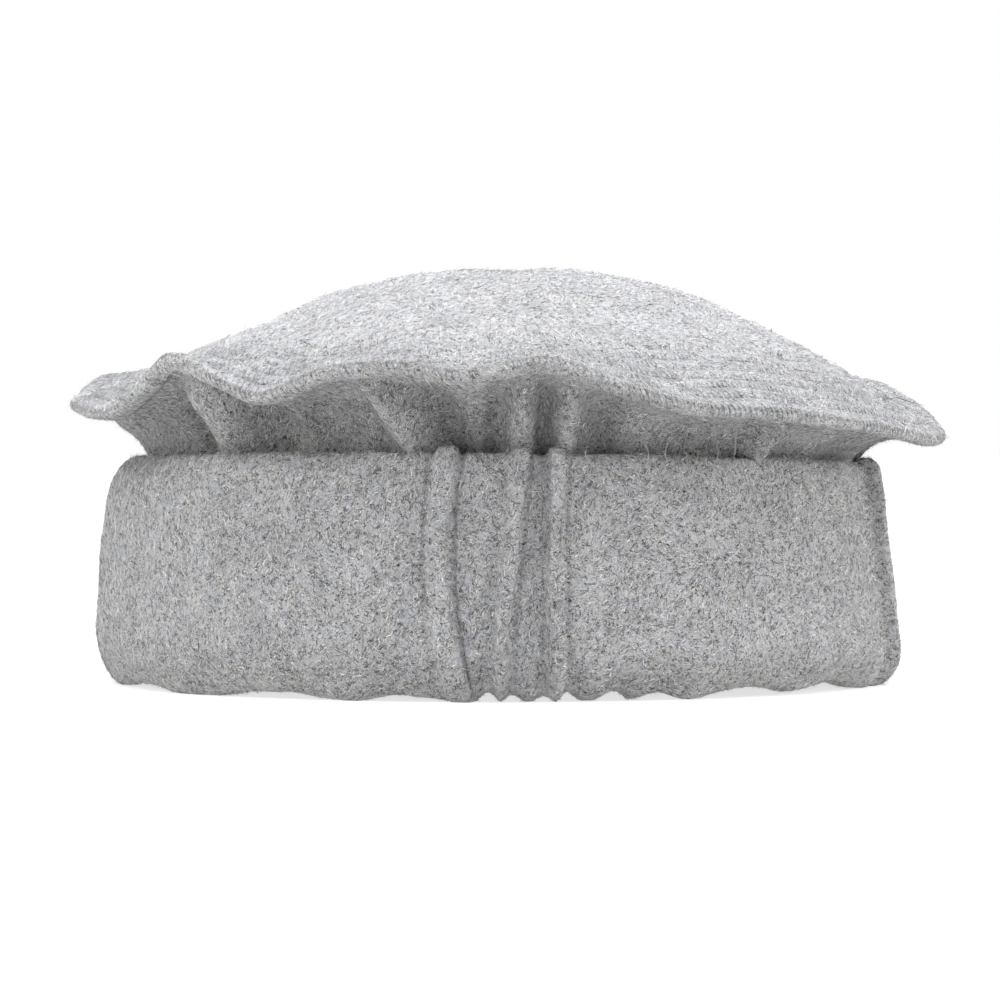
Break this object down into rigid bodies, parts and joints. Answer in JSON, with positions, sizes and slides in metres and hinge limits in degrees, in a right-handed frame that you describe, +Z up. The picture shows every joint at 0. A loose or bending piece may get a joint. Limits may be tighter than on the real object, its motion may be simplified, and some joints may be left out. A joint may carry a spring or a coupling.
{
  "type": "pakol",
  "caption": "Round soft wool cap: a domed felt top with a wavy brim, gathered to a neck above a thick rolled band with three front tucks.",
  "frame": {"origin": "on the floor, below the middle of the cap's bounding box", "axes": "+Z up through the crown; -Y out of the front, where the three tucks are; +X to the wearer's left"},
  "size_m": [0.2365, 0.2365, 0.111],
  "materials": {
    "felt_top": "matt heather-grey felted wool",
    "felt_side": "matt heather-grey felted wool"
  },
  "bodies": {
    "root": {"round_top": "felt_top", "rolled_side": "felt_side"}
  },
  "joints": []
}
